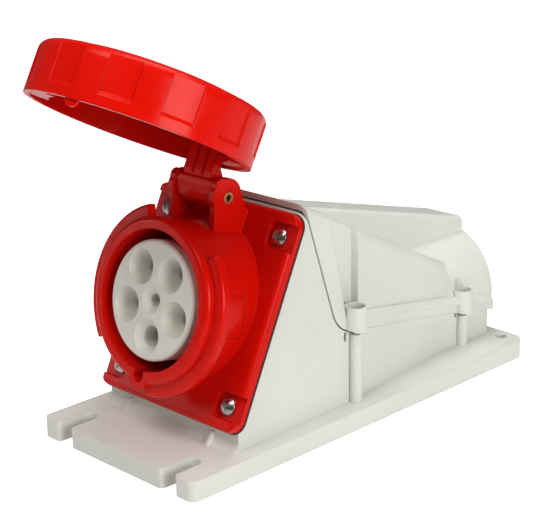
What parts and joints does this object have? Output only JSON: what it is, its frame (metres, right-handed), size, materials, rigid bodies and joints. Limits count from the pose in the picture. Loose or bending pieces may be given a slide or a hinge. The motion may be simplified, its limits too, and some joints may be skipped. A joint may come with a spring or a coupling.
{
  "type": "industrial wall socket",
  "caption": "Surface-mounted industrial socket outlet with an inclined flanged collar, round contacts, and a hinged lid with a bayonet lock ring on a long tapering housing.",
  "frame": {"origin": "centre of the housing's flat back face, where it meets the wall", "axes": "+Z leads away from the wall, -Y towards the collar's mouth and +Y towards the cable entry, +X to the side that the picture shows"},
  "size_m": [0.119, 0.2969, 0.2211],
  "materials": {
    "housing_grey": "satin, moulded",
    "shell_red": "gloss, moulded",
    "insert_grey": "satin, moulded",
    "seal_black": "matt",
    "contact_brass": "turned",
    "pin_brass": "rolled",
    "screw_steel": "bright"
  },
  "bodies": {
    "housing": {"base": "housing_grey", "cover": "housing_grey", "cover_seal": "seal_black", "cover_screws": "screw_steel", "flange_gasket": "seal_black", "socket_body": "shell_red", "flange_screws": "screw_steel", "contact_insert": "insert_grey", "contact_carrier": "insert_grey", "carrier_screws": "screw_steel", "contact_l1": "contact_brass", "contact_l2": "contact_brass", "contact_l3": "contact_brass", "contact_neutral": "contact_brass", "contact_earth": "contact_brass", "contact_pilot": "contact_brass", "terminal_screws": "screw_steel", "hinge_pin": "pin_brass"},
    "lid": {"lid_cap": "shell_red", "lid_seal": "seal_black"},
    "lock_ring": {"lock_ring": "shell_red"}
  },
  "joints": [
    {"name": "lid_hinge", "type": "hinge", "parent": "housing", "child": "lid", "pos_m": [0, -0.06728, 0.13201], "axis": [1, 0, 0], "range_deg": [0, 104.9]},
    {"name": "ring_turn", "type": "hinge", "parent": "lid", "child": "lock_ring", "pos_m": [0, -0.11041, 0.17113], "axis": [0, -0.4726, -0.8813], "range_deg": [0, 35]}
  ]
}
